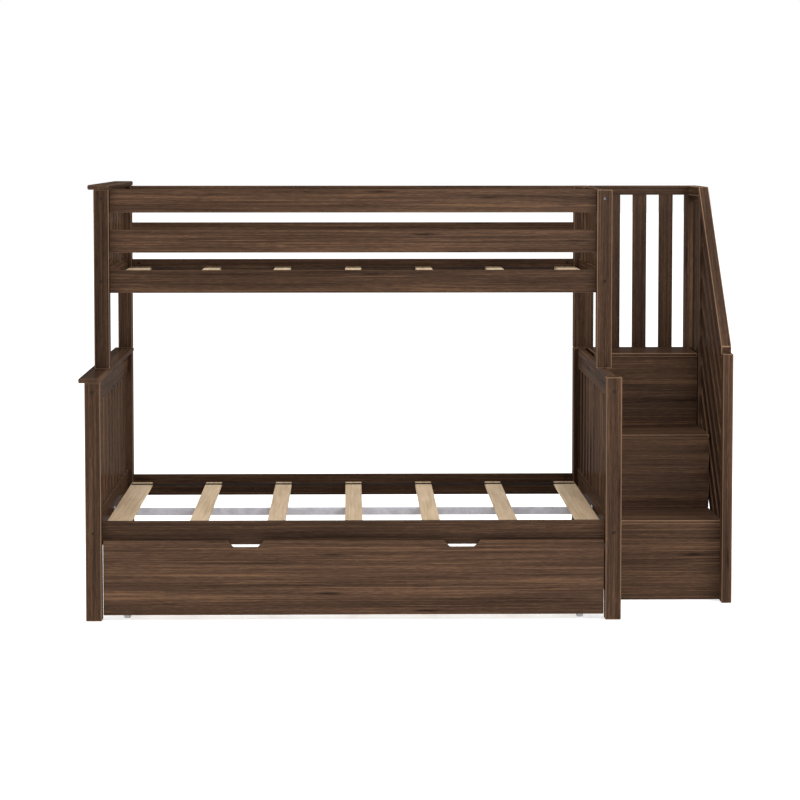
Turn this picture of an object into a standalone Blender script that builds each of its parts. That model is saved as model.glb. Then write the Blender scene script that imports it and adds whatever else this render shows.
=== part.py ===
"""Twin-over-full bunk bed with stairs at its right end and a trundle on casters underneath.

Everything is laid out in a plan frame, in metres: X = 0 at the middle of the mattress, Y = 0 at the
front of the lower posts and Z = 0 on the floor. SHIFT then puts the object's own origin at the
middle of its footprint.
"""

import math

import bmesh
import bpy
from mathutils import Vector

# Driving dimensions
GAP = 0.0003
POST = 0.060
HALF_INSIDE = 0.960
DEPTH = 1.515
UPPER_FRONT = 0.400
LOWER_TOP = 0.930
UPPER_TOP = 1.6355
CAP_THICK = 0.019
CAP_SIDE_OUT = 0.022
CAP_END_OUT = 0.010
CAP_IN = 0.002
BOARD = 0.022
BOARD_TALL = 0.090
END_FACE = 0.980
END_SLAT_THICK = 0.014
END_SLAT_WIDE = 0.062
END_SLAT_PITCH = 0.1325
LOWER_RAIL_BOTTOM = 0.288
UPPER_RAIL_BOTTOM = 1.228
MIDDLE_GUARD_BOTTOM = 1.387
TOP_GUARD_BOTTOM = 1.545
LOWER_END_RAIL = (0.272, 0.402)
BED_SLAT_THICK = 0.016
BED_SLAT_WIDE = 0.069
BED_SLAT_PITCH = 0.3035
END_BED_SLAT_WIDE = 0.090
END_BED_SLAT_X = 0.919
LOWER_SLAT_TOP = 0.345
UPPER_SLAT_TOP = 1.284
CLEAT_TALL = 0.028
CLEAT_WIDE = 0.024
BEAM = 0.0285
ENTRY_STILE_Y = 1.062
ENTRY_SLATS = 4

STAIR_LEFT = 1.0205
STAIR_RIGHT = 1.4557
STEP_RIGHT = 1.463
SIDE_THICK = 0.018
TREAD_THICK = 0.016
RISER_THICK = 0.012
NOSING = 0.008
TREAD_TOPS = (0.320, 0.623, 0.932)
TREAD_FRONTS = (0.430, 0.787, 1.117)
STAIR_BACK = 1.4547

GUARD_X = (1.456, 1.496)
GUARD_BOARD_X = (1.4695, 1.4825)
NEWEL_Y = (0.354, 0.414)
NEWEL_TOP = 0.990
MIDDLE_POST_Y = (1.082, 1.142)
BEND_Y = 1.116
RAIL_PITCH = 0.884
RAIL_DEEP = 0.040
BOARD_RISE = 0.1245
TOP_BOARD_LINE = 0.5130
GUARD_BOARDS = 8
FOOT_RAIL_TALL = 0.062
HEAD_RAIL_TALL = 0.027
GUARD_SLAT_Y = (1.205, 1.330)
REAR_POST_X = 1.444
STILE_WIDE = 0.026
BACK_SLAT_IN = 0.004
BACK_SLAT_THICK = 0.014
BACK_SLAT_WIDE = 0.060
BACK_SLATS = 3

TRUNDLE_HALF = 0.9545
TRUNDLE_PANEL = (0.0215, 0.307)
TRUNDLE_FRONT = 0.010
TRUNDLE_PANEL_THICK = 0.018
NOTCH_X = 0.413
NOTCH_TOP = 0.140
NOTCH_BOTTOM = 0.093
NOTCH_DEEP = 0.026
FRAME_HALF = 0.945
FRAME_BACK = 1.000
FRAME_Z = (0.072, 0.112)
OUTER_DECK_SLAT = 2.7 * BED_SLAT_PITCH
BATTEN_HALF = 2.8 * BED_SLAT_PITCH
LEDGE_TOP = 0.0927
CASTER_X = 0.868
CASTER_Y = (0.070, 0.955)
WHEEL_RADIUS = 0.030
WHEEL_WIDE = 0.024
AXLE_RADIUS = 0.004
AXLE_PLAY = 0.0005
AXLE_OUT = 0.002
WHEEL_PLAY = 0.0015
CHEEK_THICK = 0.003
CHEEK_HALF = 0.012
CHEEK_BOTTOM = 0.022
PLATE_BOTTOM = 0.0640
PLATE_HALF_X = 0.021
PLATE_HALF_Y = 0.030
WHEEL_STEPS = 24

SHIFT = Vector((
    -(GUARD_X[1] - HALF_INSIDE - POST - CAP_SIDE_OUT) / 2,
    -DEPTH / 2,
    0,
))

# Walnut stain, bare pine, powder coat, caster grey and caster tyre: colour, roughness, metallic
FINISHES = {
    "walnut": ((0.085, 0.052, 0.036), 0.38, 0.0),
    "pine": ((0.56, 0.40, 0.24), 0.60, 0.0),
    "steel": ((0.36, 0.36, 0.38), 0.45, 0.6),
    "housing": ((0.62, 0.62, 0.63), 0.40, 0.0),
    "tyre": ((0.30, 0.30, 0.31), 0.70, 0.0),
}
made_materials = {}


def material(name):
    """One Principled material for each finish."""
    if name not in made_materials:
        colour, roughness, metallic = FINISHES[name]
        made = bpy.data.materials.new(name)
        made.use_nodes = True
        shader = made.node_tree.nodes["Principled BSDF"]
        shader.inputs["Base Color"].default_value = (*colour, 1)
        shader.inputs["Roughness"].default_value = roughness
        shader.inputs["Metallic"].default_value = metallic
        made_materials[name] = made
    return made_materials[name]


def add_object(name, mesh_data, finish, origin):
    """Places a mesh that is drawn in the plan frame, with its origin at `origin`."""
    bmesh.ops.translate(mesh_data, verts=mesh_data.verts, vec=-Vector(origin))
    bmesh.ops.recalc_face_normals(mesh_data, faces=mesh_data.faces)
    mesh = bpy.data.meshes.new(name)
    mesh_data.to_mesh(mesh)
    mesh_data.free()
    mesh.materials.append(material(finish))
    made = bpy.data.objects.new(name, mesh)
    made.location = Vector(origin) + SHIFT
    bpy.context.scene.collection.objects.link(made)
    return made


def box_mesh(x, y, z):
    """A closed box between two values on each axis."""
    made = bmesh.new()
    corners = [made.verts.new((a, b, c)) for a in x for b in y for c in z]
    for face in ((0, 1, 3, 2), (4, 6, 7, 5), (0, 4, 5, 1), (2, 3, 7, 6), (0, 2, 6, 4), (1, 5, 7, 3)):
        made.faces.new([corners[i] for i in face])
    return made


def middle(x, y, z):
    return (sum(x) / 2, sum(y) / 2, sum(z) / 2)


def box(name, x, y, z, finish="walnut", bevel=0.0):
    made = add_object(name, box_mesh(x, y, z), finish, middle(x, y, z))
    if bevel:
        soften = made.modifiers.new("round_edges", "BEVEL")
        soften.width = bevel
        soften.segments = 2
    return made


def span(boxes, axis):
    return (min(b[axis][0] for b in boxes), max(b[axis][1] for b in boxes))


def joined_boxes(name, boxes, finish="walnut"):
    """One closed body from boxes that touch or overlap: only the outer faces of their cells are kept."""
    cuts = [sorted({value for b in boxes for value in b[axis]}) for axis in range(3)]
    counts = [len(cut) - 1 for cut in cuts]

    def filled(cell):
        if any(cell[axis] < 0 or cell[axis] >= counts[axis] for axis in range(3)):
            return False
        point = [(cuts[axis][cell[axis]] + cuts[axis][cell[axis] + 1]) / 2 for axis in range(3)]
        return any(all(b[axis][0] < point[axis] < b[axis][1] for axis in range(3)) for b in boxes)

    solid = {
        (i, j, k)
        for i in range(counts[0])
        for j in range(counts[1])
        for k in range(counts[2])
        if filled((i, j, k))
    }
    made = bmesh.new()
    corners = {}

    def corner(index):
        if index not in corners:
            corners[index] = made.verts.new([cuts[axis][index[axis]] for axis in range(3)])
        return corners[index]

    for cell in sorted(solid):
        for axis in range(3):
            across, along = [other for other in range(3) if other != axis]
            for side in (0, 1):
                beside = list(cell)
                beside[axis] += 1 if side else -1
                if tuple(beside) in solid:
                    continue
                ring = []
                for a, b in ((0, 0), (1, 0), (1, 1), (0, 1)):
                    index = list(cell)
                    index[axis] += side
                    index[across] += a
                    index[along] += b
                    ring.append(corner(tuple(index)))
                made.faces.new(ring)
    return add_object(name, made, finish, middle(*(span(boxes, axis) for axis in range(3))))


def prism_mesh(outline, axis, low, high):
    """A closed prism: `outline` holds the other two coordinates, in X, Y, Z order."""
    made = bmesh.new()

    def point(pair, value):
        full = list(pair)
        full.insert(axis, value)
        return made.verts.new(full)

    front = [point(pair, low) for pair in outline]
    back = [point(pair, high) for pair in outline]
    made.faces.new(front)
    made.faces.new(back[::-1])
    for i in range(len(outline)):
        j = (i + 1) % len(outline)
        made.faces.new((front[i], back[i], back[j], front[j]))
    return made


def prism(name, outline, axis, low, high, finish="walnut"):
    spans = [(min(p[i] for p in outline), max(p[i] for p in outline)) for i in (0, 1)]
    spans.insert(axis, (low, high))
    return add_object(name, prism_mesh(outline, axis, low, high), finish, middle(*spans))


def tube_mesh(x, centre, radius, bore=0.0):
    """A cylinder along X, with a bore through it when one is given."""
    made = bmesh.new()
    rings = []
    for size in (radius, bore) if bore else (radius,):
        for end in x:
            rings.append([
                made.verts.new((
                    end,
                    centre[0] + size * math.cos(2 * math.pi * i / WHEEL_STEPS),
                    centre[1] + size * math.sin(2 * math.pi * i / WHEEL_STEPS),
                ))
                for i in range(WHEEL_STEPS)
            ])
    if not bore:
        made.faces.new(rings[0])
        made.faces.new(rings[1][::-1])
    for i in range(WHEEL_STEPS):
        j = (i + 1) % WHEEL_STEPS
        made.faces.new((rings[0][i], rings[0][j], rings[1][j], rings[1][i]))
        if bore:
            made.faces.new((rings[2][i], rings[3][i], rings[3][j], rings[2][j]))
            made.faces.new((rings[0][i], rings[2][i], rings[2][j], rings[0][j]))
            made.faces.new((rings[1][i], rings[1][j], rings[3][j], rings[3][i]))
    return made


def join(target, helper):
    """Unites a hidden helper with a node."""
    helper.hide_render = True
    helper.display_type = "WIRE"
    union = target.modifiers.new("join_" + helper.name, "BOOLEAN")
    union.operation = "UNION"
    union.solver = "EXACT"
    union.object = helper


def rows(low, high, count, wide):
    """Spans of `count` slats of one width, evenly spaced between low and high."""
    gap = (high - low - count * wide) / (count + 1)
    starts = [low + gap + i * (wide + gap) for i in range(count)]
    return [(start, start + wide) for start in starts]


def outward(side, near, far):
    """The X span between two distances from the middle, on the left (-1) or the right (1)."""
    return tuple(sorted((side * near, side * far)))


LEFT, RIGHT = -1, 1
BACK_POST_Y = (DEPTH - POST, DEPTH)
BACK_INSIDE = DEPTH - POST
LOWER_FRONT_POST_Y = (0, POST)
UPPER_FRONT_POST_Y = (UPPER_FRONT, UPPER_FRONT + POST)
POST_SPAN = (HALF_INSIDE, HALF_INSIDE + POST)
RAIL_X = (-HALF_INSIDE + GAP, HALF_INSIDE - GAP)


def posts():
    for side, label in ((LEFT, "left"), (RIGHT, "right")):
        x = outward(side, *POST_SPAN)
        top = LOWER_TOP - CAP_THICK if side == LEFT else LOWER_TOP
        box(f"lower_post_front_{label}", x, LOWER_FRONT_POST_Y, (0, top))
        box(f"lower_post_back_{label}", x, BACK_POST_Y, (0, top))
        box(f"upper_post_front_{label}", x, UPPER_FRONT_POST_Y, (LOWER_TOP + GAP, UPPER_TOP))
        box(f"upper_post_back_{label}", x, BACK_POST_Y, (LOWER_TOP + GAP, UPPER_TOP))


def caps():
    x = (-HALF_INSIDE - POST - CAP_SIDE_OUT, -HALF_INSIDE + CAP_IN)
    back = DEPTH + CAP_END_OUT
    box(
        "lower_end_cap_left",
        x,
        (-CAP_END_OUT, back),
        (LOWER_TOP - CAP_THICK + GAP, LOWER_TOP),
        bevel=0.006,
    )
    box(
        "upper_end_cap_left",
        x,
        (UPPER_FRONT - CAP_END_OUT, back),
        (UPPER_TOP + GAP, UPPER_TOP + GAP + CAP_THICK),
        bevel=0.006,
    )


def end_panel(name, side, front, bottom_rail, top_rail, count):
    """Top and bottom rails with upright slats between them, all let into each other."""
    rail_x = outward(side, END_FACE, END_FACE + BOARD)
    inset = (BOARD - END_SLAT_THICK) / 2
    slat_x = outward(side, END_FACE + inset, END_FACE + inset + END_SLAT_THICK)
    y = (front + GAP, BACK_INSIDE - GAP)
    boxes = [(rail_x, y, bottom_rail), (rail_x, y, top_rail)]
    for slat in rows(front, BACK_INSIDE, count, END_SLAT_WIDE):
        boxes.append((slat_x, slat, (bottom_rail[1] - NOSING, top_rail[0] + NOSING)))
    joined_boxes(name, boxes)


def slat_count(length):
    return round((length - END_SLAT_WIDE) / END_SLAT_PITCH)


def lower_ends():
    count = slat_count(BACK_INSIDE - POST)
    left_top = LOWER_TOP - CAP_THICK
    end_panel("lower_end_panel_left", LEFT, POST, LOWER_END_RAIL, (left_top - BOARD_TALL, left_top), count)
    right_rail = (LOWER_TOP - BOARD_TALL, LOWER_TOP)
    end_panel("lower_end_panel_right", RIGHT, POST, LOWER_END_RAIL, right_rail, count)


def upper_ends():
    front = UPPER_FRONT + POST
    bottom_rail = (UPPER_RAIL_BOTTOM, UPPER_RAIL_BOTTOM + BOARD_TALL)
    top_rail = (TOP_GUARD_BOTTOM, UPPER_TOP)
    end_panel("upper_end_panel_left", LEFT, front, bottom_rail, top_rail, slat_count(BACK_INSIDE - front))

    rail_x = outward(RIGHT, END_FACE, END_FACE + BOARD)
    inset = (BOARD - END_SLAT_THICK) / 2
    slat_x = (rail_x[0] + inset, rail_x[1] - inset)
    stile_y = (ENTRY_STILE_Y, ENTRY_STILE_Y + POST)
    boxes = [
        (rail_x, (front + GAP, BACK_INSIDE - GAP), bottom_rail),
        (rail_x, (front + GAP, stile_y[1] - NOSING), top_rail),
        (POST_SPAN, stile_y, (bottom_rail[1] - NOSING, UPPER_TOP)),
    ]
    for slat in rows(front, stile_y[0], ENTRY_SLATS, END_SLAT_WIDE):
        boxes.append((slat_x, slat, (bottom_rail[1] - NOSING, top_rail[0] + NOSING)))
    joined_boxes("upper_entry_end_right", boxes)


def side_rail(name, inner_face, inward, bottom, cleat_top):
    """A side rail whose inner face is at `inner_face`, with the cleat that the slats lie on."""
    rail_y = tuple(sorted((inner_face, inner_face - inward * BOARD)))
    cleat_y = tuple(sorted((inner_face, inner_face + inward * CLEAT_WIDE)))
    joined_boxes(name, [
        (RAIL_X, rail_y, (bottom, bottom + BOARD_TALL)),
        (RAIL_X, cleat_y, (cleat_top - CLEAT_TALL, cleat_top)),
    ])


def bed_boards():
    lower_cleat = LOWER_SLAT_TOP - BED_SLAT_THICK - GAP
    upper_cleat = UPPER_SLAT_TOP - BED_SLAT_THICK - GAP
    upper_inside = UPPER_FRONT + POST
    side_rail("lower_side_rail_front", POST, 1, LOWER_RAIL_BOTTOM, lower_cleat)
    side_rail("lower_side_rail_back", BACK_INSIDE, -1, LOWER_RAIL_BOTTOM, lower_cleat)
    side_rail("upper_side_rail_front", upper_inside, 1, UPPER_RAIL_BOTTOM, upper_cleat)
    side_rail("upper_side_rail_back", BACK_INSIDE, -1, UPPER_RAIL_BOTTOM, upper_cleat)
    for label, y in (
        ("front", (upper_inside - BOARD, upper_inside)),
        ("back", (BACK_INSIDE, BACK_INSIDE + BOARD)),
    ):
        middle_z = (MIDDLE_GUARD_BOTTOM, MIDDLE_GUARD_BOTTOM + BOARD_TALL)
        box(f"upper_middle_guard_{label}", RAIL_X, y, middle_z)
        box(f"upper_top_guard_{label}", RAIL_X, y, (TOP_GUARD_BOTTOM, UPPER_TOP))


def bed_slats(level, front, top):
    """Seven slats across the bed: five narrow ones, evenly spaced, and a wide one at each end."""
    y = (front + 2 * GAP, BACK_INSIDE - 2 * GAP)
    z = (top - BED_SLAT_THICK, top)
    for number in range(7):
        place = number - 3
        if abs(place) == 3:
            centre = math.copysign(END_BED_SLAT_X, place)
            wide = END_BED_SLAT_WIDE
        else:
            centre = place * BED_SLAT_PITCH
            wide = BED_SLAT_WIDE
        box(f"{level}_slat_{number + 1}", (centre - wide / 2, centre + wide / 2), y, z, "pine")


def centre_beam():
    top = LOWER_SLAT_TOP - BED_SLAT_THICK - GAP
    centre = (POST + BACK_INSIDE) / 2
    half = BEAM / 2
    box(
        "lower_centre_beam",
        (-END_FACE + GAP, END_FACE - GAP),
        (centre - half, centre + half),
        (top - BEAM, top),
        "steel",
    )


def treads_and_risers():
    """The two lower steps reach past the outer side, up to the middle post."""
    below = 0
    for i, (top, front) in enumerate(zip(TREAD_TOPS, TREAD_FRONTS)):
        if i + 1 < len(TREAD_FRONTS):
            back = TREAD_FRONTS[i + 1] + NOSING + RISER_THICK
        else:
            back = STAIR_BACK
        face = front + NOSING
        under = top - TREAD_THICK - GAP
        z = (top - TREAD_THICK, top)
        narrow = (STAIR_LEFT, STAIR_RIGHT)
        wide = (STAIR_LEFT, STEP_RIGHT)
        before_post = min(back, MIDDLE_POST_Y[0] - GAP)
        if front > before_post:
            x = narrow
            box(f"stair_tread_{i + 1}", x, (front, back), z)
        else:
            x = wide
            boxes = [(wide, (front, before_post), z), (narrow, (front, back), z)]
            joined_boxes(f"stair_tread_{i + 1}", boxes)
        box(f"stair_riser_{i + 1}", x, (face, face + RISER_THICK), (below, under))
        below = top + GAP


def stair_sides():
    """Stepped side panels, under the treads and behind the risers."""
    faces = [front + NOSING + RISER_THICK + GAP for front in TREAD_FRONTS]
    tops = [top - TREAD_THICK - GAP for top in TREAD_TOPS]
    outline = [(faces[0], 0)]
    for i, top in enumerate(tops):
        outline.append((faces[i], top))
        outline.append((faces[i + 1] if i + 1 < len(faces) else STAIR_BACK, top))
    outline.append((STAIR_BACK, 0))
    prism("stair_side_inner", outline, 0, STAIR_LEFT, STAIR_LEFT + SIDE_THICK)
    prism("stair_side_outer", outline, 0, STAIR_RIGHT - SIDE_THICK, STAIR_RIGHT)


def rail_line(y):
    """Height of the handrail's sloped top at a given Y."""
    return UPPER_TOP + RAIL_PITCH * (y - BEND_Y)


RAIL_DROP = RAIL_DEEP * math.sqrt(1 + RAIL_PITCH ** 2)
UNDER_FLAT = UPPER_TOP - RAIL_DEEP
UNDER_BEND_Y = BEND_Y + (RAIL_DROP - RAIL_DEEP) / RAIL_PITCH


def handrail():
    foot = NEWEL_Y[1] + GAP
    outline = [
        (foot, rail_line(foot) - RAIL_DROP),
        (UNDER_BEND_Y, UNDER_FLAT),
        (DEPTH, UNDER_FLAT),
        (DEPTH, UPPER_TOP),
        (BEND_Y, UPPER_TOP),
        (foot, rail_line(foot)),
    ]
    prism("stair_handrail", outline, 0, *GUARD_X)


def side_guard():
    """Both posts, the boards parallel to the handrail, the foot rail and the landing's rails and slats."""
    front, back = MIDDLE_POST_Y
    under = UNDER_FLAT - GAP
    outline = [
        (front, 0),
        (back, 0),
        (back, under),
        (UNDER_BEND_Y, under),
        (front, rail_line(front) - RAIL_DROP - GAP),
    ]
    frame = prism("stair_side_guard", outline, 0, *GUARD_X)

    half_rise = END_SLAT_WIDE * math.sqrt(1 + RAIL_PITCH ** 2) / 2
    top_of_line = rail_line(0)
    start = NEWEL_Y[1] + GAP
    end = front + NOSING
    for i in range(GUARD_BOARDS):
        line = TOP_BOARD_LINE - i * BOARD_RISE
        low = line + RAIL_PITCH * start
        high = line + RAIL_PITCH * end
        assert line + half_rise < top_of_line - RAIL_DROP
        board = [(end, high - half_rise), (end, high + half_rise), (start, low + half_rise)]
        if i + 1 < GUARD_BOARDS:
            board.append((start, low - half_rise))
        else:
            meeting = (FOOT_RAIL_TALL - line + half_rise) / RAIL_PITCH
            board += [(start, 0), (end, 0), (end, FOOT_RAIL_TALL), (meeting, FOOT_RAIL_TALL)]
        join(frame, prism(f"guard_board_{i + 1}", board, 0, *GUARD_BOARD_X))

    landing = TREAD_TOPS[-1]
    rail_y = (back - NOSING, BACK_INSIDE + NOSING)
    rails = [
        (GUARD_BOARD_X, rail_y, (landing - BOARD_TALL, landing)),
        (GUARD_BOARD_X, rail_y, (under - HEAD_RAIL_TALL, under)),
    ]
    for low in GUARD_SLAT_Y:
        rails.append((GUARD_BOARD_X, (low, low + END_SLAT_WIDE), (landing - NOSING, under)))
    rails.append(((REAR_POST_X, GUARD_X[1]), BACK_POST_Y, (0, under)))
    join(frame, joined_boxes("guard_landing_part", rails))


def back_guard():
    stile = (STAIR_LEFT, STAIR_LEFT + STILE_WIDE)
    rail_y = (BACK_INSIDE, BACK_INSIDE + RAIL_DEEP)
    slat_front = BACK_INSIDE + BACK_SLAT_IN
    slat_y = (slat_front, slat_front + BACK_SLAT_THICK)
    right = REAR_POST_X - GAP
    landing = TREAD_TOPS[-1]
    boxes = [
        (stile, rail_y, (0, UPPER_TOP)),
        ((stile[0], GUARD_X[0] - GAP), rail_y, (UNDER_FLAT, UPPER_TOP)),
        ((stile[0], right), slat_y, (landing - BOARD_TALL, landing)),
    ]
    for x in rows(stile[1], REAR_POST_X, BACK_SLATS, BACK_SLAT_WIDE):
        boxes.append((x, slat_y, (landing - NOSING, UNDER_FLAT + NOSING)))
    joined_boxes("stair_back_guard", boxes)


def newel():
    box("stair_newel_post", GUARD_X, NEWEL_Y, (0, NEWEL_TOP))


def trundle_panel():
    low, high = TRUNDLE_PANEL
    outline = [(-TRUNDLE_HALF, low), (TRUNDLE_HALF, low), (TRUNDLE_HALF, high)]
    for centre in (NOTCH_X, -NOTCH_X):
        outline += [
            (centre + NOTCH_TOP / 2, high),
            (centre + NOTCH_BOTTOM / 2, high - NOTCH_DEEP),
            (centre - NOTCH_BOTTOM / 2, high - NOTCH_DEEP),
            (centre - NOTCH_TOP / 2, high),
        ]
    outline.append((-TRUNDLE_HALF, high))
    prism("trundle_front_panel", outline, 1, TRUNDLE_FRONT, TRUNDLE_FRONT + TRUNDLE_PANEL_THICK)


def trundle_frame():
    """Rails on all four sides, a ledge for the slats and a block over each caster."""
    front = TRUNDLE_FRONT + TRUNDLE_PANEL_THICK + GAP
    low = FRAME_Z[0]
    inner = FRAME_HALF - BOARD
    ledge_z = (low, LEDGE_TOP)
    boxes = [
        ((-FRAME_HALF, FRAME_HALF), (front, front + BOARD), FRAME_Z),
        ((-FRAME_HALF, FRAME_HALF), (FRAME_BACK - BOARD, FRAME_BACK), FRAME_Z),
        ((-inner, inner), (front + BOARD, front + BOARD + CLEAT_WIDE), ledge_z),
        ((-inner, inner), (FRAME_BACK - BOARD - CLEAT_WIDE, FRAME_BACK - BOARD), ledge_z),
    ]
    block = 2 * CLEAT_WIDE
    for side in (LEFT, RIGHT):
        boxes.append((outward(side, inner, FRAME_HALF), (front, FRAME_BACK), FRAME_Z))
        block_x = outward(side, CASTER_X - CLEAT_WIDE, inner)
        for y in CASTER_Y:
            block_y = (max(y - block, front), min(y + block, FRAME_BACK))
            boxes.append((block_x, block_y, ledge_z))
    joined_boxes("trundle_frame", boxes)


def trundle_deck():
    front = TRUNDLE_FRONT + TRUNDLE_PANEL_THICK + GAP + BOARD
    y = (front + 2 * GAP, FRAME_BACK - BOARD - 2 * GAP)
    low = LEDGE_TOP + GAP
    z = (low, low + BED_SLAT_THICK)
    wide = BED_SLAT_WIDE
    batten_x = (-BATTEN_HALF, BATTEN_HALF)
    centre_y = sum(y) / 2
    boxes = [(batten_x, (centre_y - wide / 2, centre_y + wide / 2), (FRAME_Z[0], low))]
    centres = [place * BED_SLAT_PITCH for place in range(-2, 3)]
    for centre in (-OUTER_DECK_SLAT, *centres, OUTER_DECK_SLAT):
        boxes.append(((centre - wide / 2, centre + wide / 2), y, z))
    joined_boxes("trundle_slat_deck", boxes, "pine")


def casters():
    plate = (PLATE_BOTTOM, FRAME_Z[0] - GAP)
    cheek_z = (CHEEK_BOTTOM, plate[1] - CHEEK_THICK)
    inside = WHEEL_WIDE / 2 + WHEEL_PLAY
    outer = inside + CHEEK_THICK
    end = outer + AXLE_OUT
    half = WHEEL_WIDE / 2
    for side, label in ((LEFT, "left"), (RIGHT, "right")):
        x = side * CASTER_X
        for y, place in zip(CASTER_Y, ("front", "back")):
            cheek_y = (y - CHEEK_HALF, y + CHEEK_HALF)
            plate_y = (y - PLATE_HALF_Y, y + PLATE_HALF_Y)
            body = joined_boxes(f"caster_housing_{place}_{label}", [
                ((x - PLATE_HALF_X, x + PLATE_HALF_X), plate_y, plate),
                ((x - outer, x - inside), cheek_y, cheek_z),
                ((x + inside, x + outer), cheek_y, cheek_z),
            ], "housing")
            centre = (x, y, WHEEL_RADIUS)
            axle = tube_mesh((x - end, x + end), centre[1:], AXLE_RADIUS)
            join(body, add_object(f"axle_{place}_{label}", axle, "housing", centre))
            bore = AXLE_RADIUS + AXLE_PLAY
            wheel = tube_mesh((x - half, x + half), centre[1:], WHEEL_RADIUS, bore)
            add_object(f"caster_wheel_{place}_{label}", wheel, "tyre", centre)


def main():
    for old in list(bpy.data.objects):
        bpy.data.objects.remove(old, do_unlink=True)
    posts()
    caps()
    lower_ends()
    upper_ends()
    bed_boards()
    bed_slats("lower", POST, LOWER_SLAT_TOP)
    bed_slats("upper", UPPER_FRONT + POST, UPPER_SLAT_TOP)
    centre_beam()
    treads_and_risers()
    stair_sides()
    newel()
    side_guard()
    handrail()
    back_guard()
    trundle_panel()
    trundle_frame()
    trundle_deck()
    casters()


main()
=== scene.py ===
"""Looks of the bunk bed with stairs and trundle: rounded, grained boards, their bolts, screws and straps.

Lengths are in metres, in the CAD's own frame. Boards of the same size and place stand for each CAD node.
"""

import math
import random

import bmesh
import bpy
from mathutils import Matrix, Vector


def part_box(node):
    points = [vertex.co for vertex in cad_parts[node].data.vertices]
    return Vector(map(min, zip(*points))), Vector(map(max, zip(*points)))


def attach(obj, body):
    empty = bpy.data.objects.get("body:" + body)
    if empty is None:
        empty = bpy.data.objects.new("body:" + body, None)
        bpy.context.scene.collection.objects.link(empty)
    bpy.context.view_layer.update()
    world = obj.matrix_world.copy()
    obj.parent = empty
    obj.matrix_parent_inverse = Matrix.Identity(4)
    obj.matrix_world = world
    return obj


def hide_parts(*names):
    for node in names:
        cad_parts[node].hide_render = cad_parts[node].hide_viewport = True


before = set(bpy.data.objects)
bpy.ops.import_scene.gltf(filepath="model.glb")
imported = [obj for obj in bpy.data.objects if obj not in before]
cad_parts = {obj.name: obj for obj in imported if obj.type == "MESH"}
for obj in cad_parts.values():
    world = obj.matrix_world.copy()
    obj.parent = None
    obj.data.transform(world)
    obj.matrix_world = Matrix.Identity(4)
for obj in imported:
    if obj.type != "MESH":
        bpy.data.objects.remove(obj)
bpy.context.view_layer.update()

# Sizes of the design that a node's own box doesn't give
GAP = 0.0003
BOARD = 0.022
BOARD_TALL = 0.090
END_SLAT_THICK = 0.014
END_SLAT_WIDE = 0.062
END_RAIL_TALL = 0.130
CLEAT_TALL = 0.028
CLEAT_WIDE = 0.024
BED_SLATS = 7
BED_SLAT_WIDE = 0.069
BED_SLAT_PITCH = 0.3035
SLAT_THICK = 0.016
ENTRY_SLATS = 4
ENTRY_RAIL_IN = 0.018
STEPS = (1, 2, 3)
BASE_STRIP = 0.017
RAIL_DEEP = 0.040
RAIL_PITCH = 0.884
RAIL_JOINT = 0.0002
STILE_WIDE = 0.026
BACK_SLAT_IN = 0.004
BACK_SLAT_THICK = 0.014
BACK_SLAT_WIDE = 0.060
BACK_SLATS = 3
GUARD_BOARD_IN = 0.0135
GUARD_BOARD_THICK = 0.013
GUARD_BOARDS = 8
BOARD_RISE = 0.1245
TOP_BOARD_LINE = 0.5130
FOOT_RAIL_TALL = 0.062
HEAD_RAIL_TALL = 0.027
LET_IN = 0.008
NOTCH_X = 0.413
NOTCH_TOP = 0.140
NOTCH_BOTTOM = 0.093
NOTCH_DEEP = 0.026
LEDGE_TOP = 0.0927
DECK_SLATS = (-2.7, -2, -1, 0, 1, 2, 2.7)

# Places in plan: X from the middle of the beds, Y from the front of the lower posts
ENTRY_STILE_Y = (1.062, 1.122)
MIDDLE_POST_Y = (1.082, 1.142)
GUARD_SLAT_Y = (1.205, 1.330)
BEND_Y = 1.116
NARROW_TREAD_X = 1.4557
REAR_POST_X = 1.444

# Finish
EASE = 0.0022
POST_EASE = 0.0032
STAIR_EASE = 0.003
FINE_EASE = 0.0015
SLAT_EASE = 0.0018
BOLT_HOLE = 0.0064
BOLT_DEEP = 0.011
NUT_HOLE = 0.0056
NUT_DEEP = 0.009
NUT_X = 0.930
NUT_DOWN = 0.017
NUT_RADIUS = 0.0052
CLEAT_SCREWS = 9
LOWER_BOLTS = (0.337, 0.876)
UPPER_BOLTS = (1.275, 1.600)
STRAP_WIDE = 0.036
STRAP_THICK = 0.0012
STRAP_IN = 0.075
STAPLE_APART = 0.028
STRIP_WIDE = 0.062
WIDE_STRIP = 0.09
BRACKET_PLATE = 0.0025
BRACKET_REACH = 0.032

LEFT, RIGHT = -1, 1
X, Y, Z = 0, 1, 2
rng = random.Random(11)


# Materials

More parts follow.
